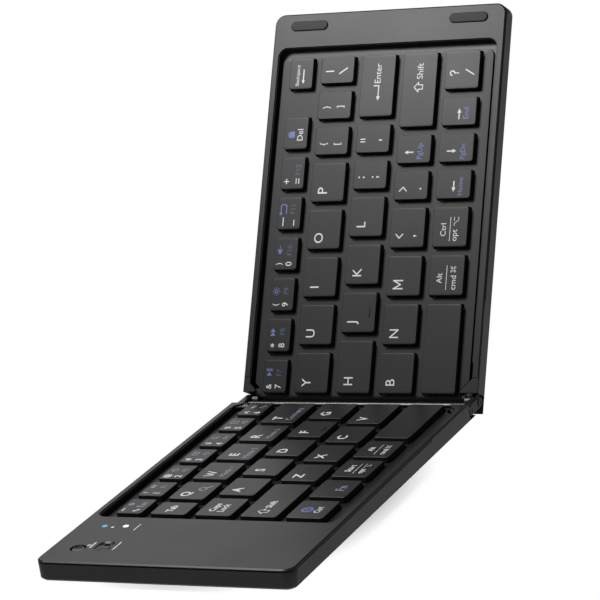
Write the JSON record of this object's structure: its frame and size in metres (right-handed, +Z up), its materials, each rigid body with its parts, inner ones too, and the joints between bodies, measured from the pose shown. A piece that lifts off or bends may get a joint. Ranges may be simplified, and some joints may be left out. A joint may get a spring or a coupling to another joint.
{
  "type": "folding keyboard",
  "caption": "Folding wireless keyboard in two halves: a base and a raised lid of square keys, joined by a spine with two parallel hinge pins.",
  "frame": {"origin": "middle of the bounding box of the opened keyboard, on the plane of the base's feet", "axes": "+X from the outer end of the base towards the lid, +Y towards the number row, +Z up"},
  "size_m": [0.236, 0.0946, 0.1337],
  "materials": {
    "shell": "fine matte texture",
    "deck": "matte",
    "keycap": "satin",
    "rubber": "matte",
    "hinge": "satin",
    "steel": "satin",
    "brass": "satin",
    "plate": "rolled",
    "sheet": "printed film",
    "dome": "silicone",
    "scissor": "moulded",
    "board": "solder mask",
    "battery": "foil pouch",
    "switch": "moulded",
    "control": "satin",
    "lamp": "clear"
  },
  "bodies": {
    "base": {"base_bottom_cover": "shell", "base_top_frame": "shell", "base_key_plate": "deck", "base_switch_sheet": "sheet", "base_back_plate": "plate", "base_domes": "dome", "base_scissors": "scissor", "base_feet": "rubber", "base_screws": "steel", "base_hinge_brackets": "steel", "control_board": "board", "battery": "battery", "charge_port": "steel", "power_switch_body": "switch", "pair_switch_body": "switch", "status_lamps": "lamp"},
    "spine": {"hinge_links": "hinge", "hinge_bar": "hinge", "hinge_pins": "steel", "hinge_washers": "brass"},
    "lid": {"lid_bottom_cover": "shell", "lid_top_frame": "shell", "lid_key_plate": "deck", "lid_switch_sheet": "sheet", "lid_back_plate": "plate", "lid_domes": "dome", "lid_scissors": "scissor", "lid_feet": "rubber", "lid_screws": "steel", "lid_hinge_brackets": "steel", "lid_bumpers": "rubber"},
    "power_slide": {"power_slide": "control"},
    "pair_button": {"pair_button": "control"},
    "base_keys_numbers": {"base_keys_numbers": "keycap"},
    "base_key_tab": {"base_key_tab": "keycap"},
    "base_keys_letters_top": {"base_keys_letters_top": "keycap"},
    "base_key_caps_lock": {"base_key_caps_lock": "keycap"},
    "base_keys_letters_home": {"base_keys_letters_home": "keycap"},
    "base_key_shift": {"base_key_shift": "keycap"},
    "base_keys_letters_low": {"base_keys_letters_low": "keycap"},
    "base_keys_control": {"base_keys_control": "keycap"},
    "base_key_space": {"base_key_space": "keycap"},
    "lid_keys_numbers": {"lid_keys_numbers": "keycap"},
    "lid_key_backspace": {"lid_key_backspace": "keycap"},
    "lid_keys_letters_top": {"lid_keys_letters_top": "keycap"},
    "lid_keys_brackets": {"lid_keys_brackets": "keycap"},
    "lid_keys_letters_home": {"lid_keys_letters_home": "keycap"},
    "lid_keys_quotes": {"lid_keys_quotes": "keycap"},
    "lid_key_enter": {"lid_key_enter": "keycap"},
    "lid_keys_letters_low": {"lid_keys_letters_low": "keycap"},
    "lid_keys_stop_up": {"lid_keys_stop_up": "keycap"},
    "lid_key_shift": {"lid_key_shift": "keycap"},
    "lid_key_space": {"lid_key_space": "keycap"},
    "lid_keys_alt": {"lid_keys_alt": "keycap"},
    "lid_keys_arrows": {"lid_keys_arrows": "keycap"},
    "lid_key_slash": {"lid_key_slash": "keycap"}
  },
  "joints": [
    {"name": "base_hinge", "type": "hinge", "parent": "base", "child": "spine", "pos_m": [0.03163, 0, 0.0051], "axis": [0, -1, 0], "range_deg": [0, 90]},
    {"name": "lid_hinge", "type": "hinge", "parent": "spine", "child": "lid", "pos_m": [0.04003, 0, 0.0051], "axis": [0, -1, 0], "range_deg": [-59.3, 30.7]},
    {"name": "power_slide_move", "type": "slide", "parent": "base", "child": "power_slide", "axis": [1, 0, 0], "range_m": [0, 0.003]},
    {"name": "pair_button_press", "type": "slide", "parent": "base", "child": "pair_button", "axis": [0, 0, -1], "range_m": [0, 0.0004], "stiffness_N_per_m": 800, "springref_m": -0.0002},
    {"name": "press_base_keys_numbers", "type": "slide", "parent": "base", "child": "base_keys_numbers", "axis": [0, 0, -1], "range_m": [0, 0.0012], "stiffness_N_per_m": 400, "springref_m": -0.0005},
    {"name": "press_base_key_tab", "type": "slide", "parent": "base", "child": "base_key_tab", "axis": [0, 0, -1], "range_m": [0, 0.0012], "stiffness_N_per_m": 400, "springref_m": -0.0005},
    {"name": "press_base_keys_letters_top", "type": "slide", "parent": "base", "child": "base_keys_letters_top", "axis": [0, 0, -1], "range_m": [0, 0.0012], "stiffness_N_per_m": 400, "springref_m": -0.0005},
    {"name": "press_base_key_caps_lock", "type": "slide", "parent": "base", "child": "base_key_caps_lock", "axis": [0, 0, -1], "range_m": [0, 0.0012], "stiffness_N_per_m": 400, "springref_m": -0.0005},
    {"name": "press_base_keys_letters_home", "type": "slide", "parent": "base", "child": "base_keys_letters_home", "axis": [0, 0, -1], "range_m": [0, 0.0012], "stiffness_N_per_m": 400, "springref_m": -0.0005},
    {"name": "press_base_key_shift", "type": "slide", "parent": "base", "child": "base_key_shift", "axis": [0, 0, -1], "range_m": [0, 0.0012], "stiffness_N_per_m": 400, "springref_m": -0.0005},
    {"name": "press_base_keys_letters_low", "type": "slide", "parent": "base", "child": "base_keys_letters_low", "axis": [0, 0, -1], "range_m": [0, 0.0012], "stiffness_N_per_m": 400, "springref_m": -0.0005},
    {"name": "press_base_keys_control", "type": "slide", "parent": "base", "child": "base_keys_control", "axis": [0, 0, -1], "range_m": [0, 0.0012], "stiffness_N_per_m": 400, "springref_m": -0.0005},
    {"name": "press_base_key_space", "type": "slide", "parent": "base", "child": "base_key_space", "axis": [0, 0, -1], "range_m": [0, 0.0012], "stiffness_N_per_m": 400, "springref_m": -0.0005},
    {"name": "press_lid_keys_numbers", "type": "slide", "parent": "lid", "child": "lid_keys_numbers", "axis": [0.8599, 0, -0.5105], "range_m": [0, 0.0012], "stiffness_N_per_m": 400, "springref_m": -0.0005},
    {"name": "press_lid_key_backspace", "type": "slide", "parent": "lid", "child": "lid_key_backspace", "axis": [0.8599, 0, -0.5105], "range_m": [0, 0.0012], "stiffness_N_per_m": 400, "springref_m": -0.0005},
    {"name": "press_lid_keys_letters_top", "type": "slide", "parent": "lid", "child": "lid_keys_letters_top", "axis": [0.8599, 0, -0.5105], "range_m": [0, 0.0012], "stiffness_N_per_m": 400, "springref_m": -0.0005},
    {"name": "press_lid_keys_brackets", "type": "slide", "parent": "lid", "child": "lid_keys_brackets", "axis": [0.8599, 0, -0.5105], "range_m": [0, 0.0012], "stiffness_N_per_m": 400, "springref_m": -0.0005},
    {"name": "press_lid_keys_letters_home", "type": "slide", "parent": "lid", "child": "lid_keys_letters_home", "axis": [0.8599, 0, -0.5105], "range_m": [0, 0.0012], "stiffness_N_per_m": 400, "springref_m": -0.0005},
    {"name": "press_lid_keys_quotes", "type": "slide", "parent": "lid", "child": "lid_keys_quotes", "axis": [0.8599, 0, -0.5105], "range_m": [0, 0.0012], "stiffness_N_per_m": 400, "springref_m": -0.0005},
    {"name": "press_lid_key_enter", "type": "slide", "parent": "lid", "child": "lid_key_enter", "axis": [0.8599, 0, -0.5105], "range_m": [0, 0.0012], "stiffness_N_per_m": 400, "springref_m": -0.0005},
    {"name": "press_lid_keys_letters_low", "type": "slide", "parent": "lid", "child": "lid_keys_letters_low", "axis": [0.8599, 0, -0.5105], "range_m": [0, 0.0012], "stiffness_N_per_m": 400, "springref_m": -0.0005},
    {"name": "press_lid_keys_stop_up", "type": "slide", "parent": "lid", "child": "lid_keys_stop_up", "axis": [0.8599, 0, -0.5105], "range_m": [0, 0.0012], "stiffness_N_per_m": 400, "springref_m": -0.0005},
    {"name": "press_lid_key_shift", "type": "slide", "parent": "lid", "child": "lid_key_shift", "axis": [0.8599, 0, -0.5105], "range_m": [0, 0.0012], "stiffness_N_per_m": 400, "springref_m": -0.0005},
    {"name": "press_lid_key_space", "type": "slide", "parent": "lid", "child": "lid_key_space", "axis": [0.8599, 0, -0.5105], "range_m": [0, 0.0012], "stiffness_N_per_m": 400, "springref_m": -0.0005},
    {"name": "press_lid_keys_alt", "type": "slide", "parent": "lid", "child": "lid_keys_alt", "axis": [0.8599, 0, -0.5105], "range_m": [0, 0.0012], "stiffness_N_per_m": 400, "springref_m": -0.0005},
    {"name": "press_lid_keys_arrows", "type": "slide", "parent": "lid", "child": "lid_keys_arrows", "axis": [0.8599, 0, -0.5105], "range_m": [0, 0.0012], "stiffness_N_per_m": 400, "springref_m": -0.0005},
    {"name": "press_lid_key_slash", "type": "slide", "parent": "lid", "child": "lid_key_slash", "axis": [0.8599, 0, -0.5105], "range_m": [0, 0.0012], "stiffness_N_per_m": 400, "springref_m": -0.0005}
  ]
}
